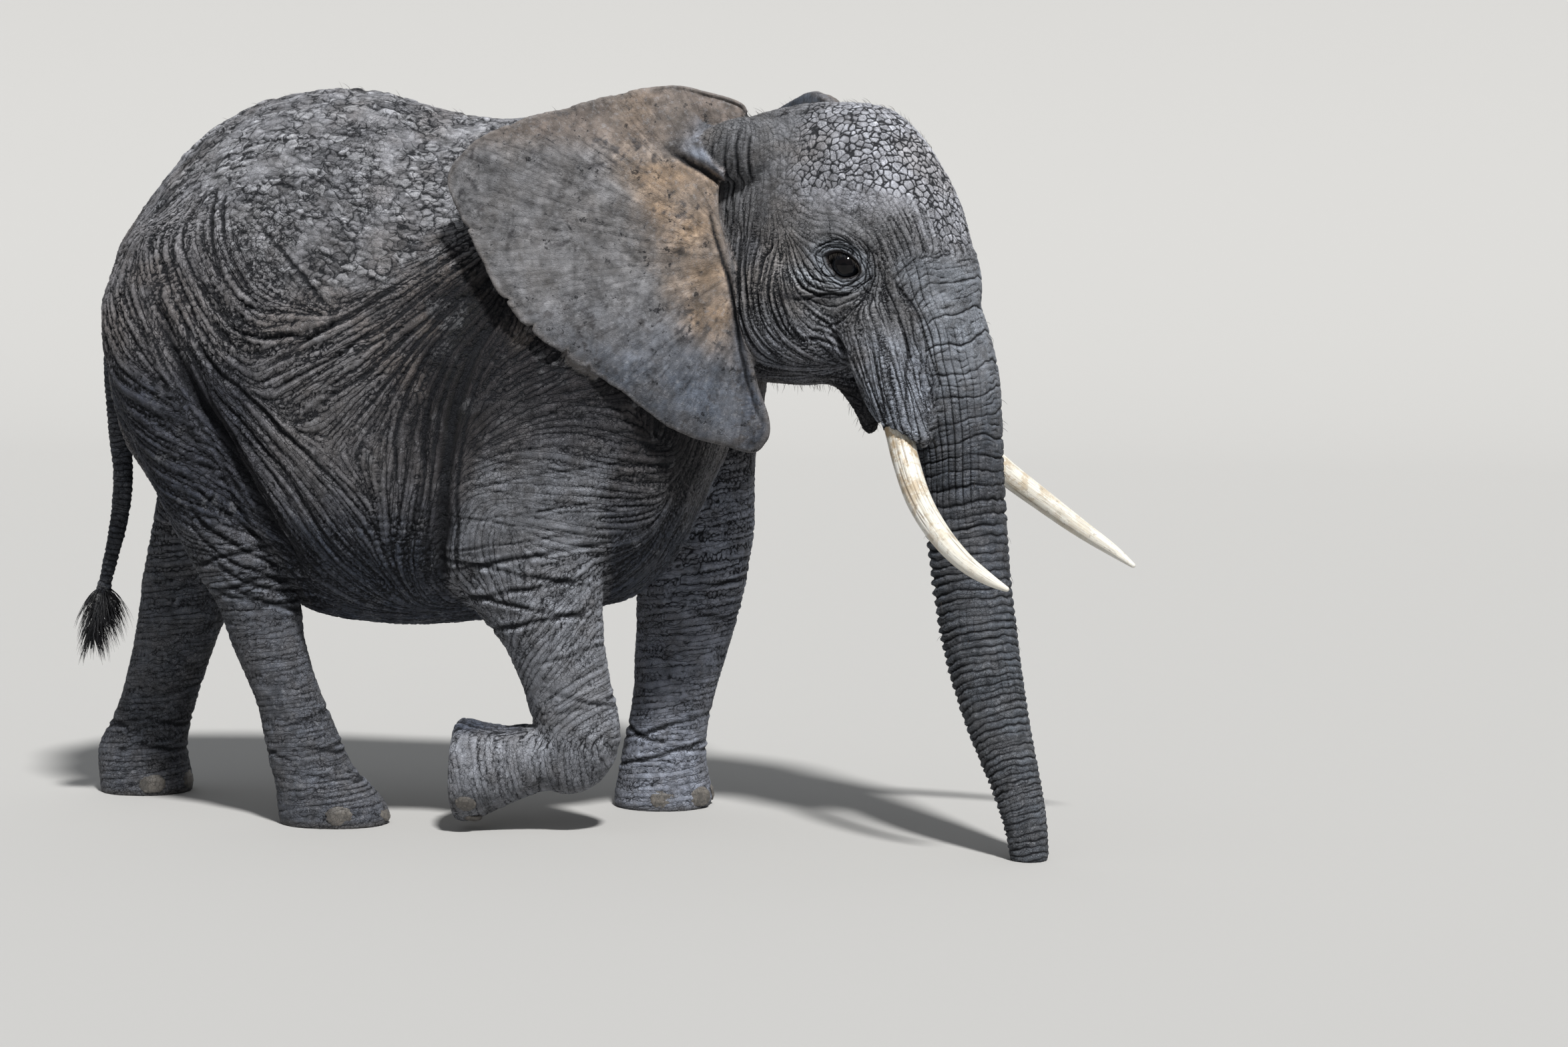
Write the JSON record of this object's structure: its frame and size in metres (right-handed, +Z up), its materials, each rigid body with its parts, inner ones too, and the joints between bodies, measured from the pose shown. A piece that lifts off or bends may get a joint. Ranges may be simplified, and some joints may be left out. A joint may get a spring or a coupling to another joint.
{
  "type": "african bush elephant, still life-size figure",
  "caption": "Life-size still figure of a tusked cow elephant mid-stride, one forefoot folded back and the trunk hanging to the floor.",
  "frame": {"origin": "middle of the animal's box seen from above, on the floor under its feet", "axes": "+X ahead, in the direction of the body, +Y to the animal's left, +Z up"},
  "size_m": [3.904, 1.921, 2.6135],
  "materials": {
    "hide": "thick grey-brown wrinkled hide, dry, dusted with pale dried mud on the back and head",
    "ear_skin": "thin smooth grey ear skin with shallow veins, dried mud flakes and an ochre dust stain near its root",
    "trunk_skin": "grey trunk hide in close cross rings, dry",
    "ivory": "smooth cream ivory with fine lengthwise cracks and brown stains",
    "eye": "wet dark brown eyeball with a clear gloss",
    "toenail": "dull worn horn, dusty",
    "tail_hair": "coarse black wiry hairs with a slight gloss"
  },
  "bodies": {
    "root": {"body": "hide", "ear_left": "ear_skin", "ear_right": "ear_skin", "eye_left": "eye", "eye_right": "eye", "foot_fore_left": "hide", "foot_fore_right": "hide", "foot_hind_left": "hide", "foot_hind_right": "hide", "foreleg_left_lower": "hide", "foreleg_left_upper": "hide", "foreleg_right_lower": "hide", "foreleg_right_upper": "hide", "head": "hide", "hindleg_left_lower": "hide", "hindleg_left_upper": "hide", "hindleg_right_lower": "hide", "hindleg_right_upper": "hide", "lower_jaw": "hide", "nail_fore_left_1": "toenail", "nail_fore_left_2": "toenail", "nail_fore_left_3": "toenail", "nail_fore_left_4": "toenail", "nail_fore_right_1": "toenail", "nail_fore_right_2": "toenail", "nail_fore_right_3": "toenail", "nail_fore_right_4": "toenail", "nail_hind_left_1": "toenail", "nail_hind_left_2": "toenail", "nail_hind_left_3": "toenail", "nail_hind_right_1": "toenail", "nail_hind_right_2": "toenail", "nail_hind_right_3": "toenail", "neck": "hide", "tail_lower": "hide", "tail_tuft": "tail_hair", "tail_upper": "hide", "trunk_lower": "trunk_skin", "trunk_middle": "trunk_skin", "trunk_tip": "trunk_skin", "trunk_upper": "trunk_skin", "tusk_left": "ivory", "tusk_right": "ivory"}
  },
  "joints": []
}
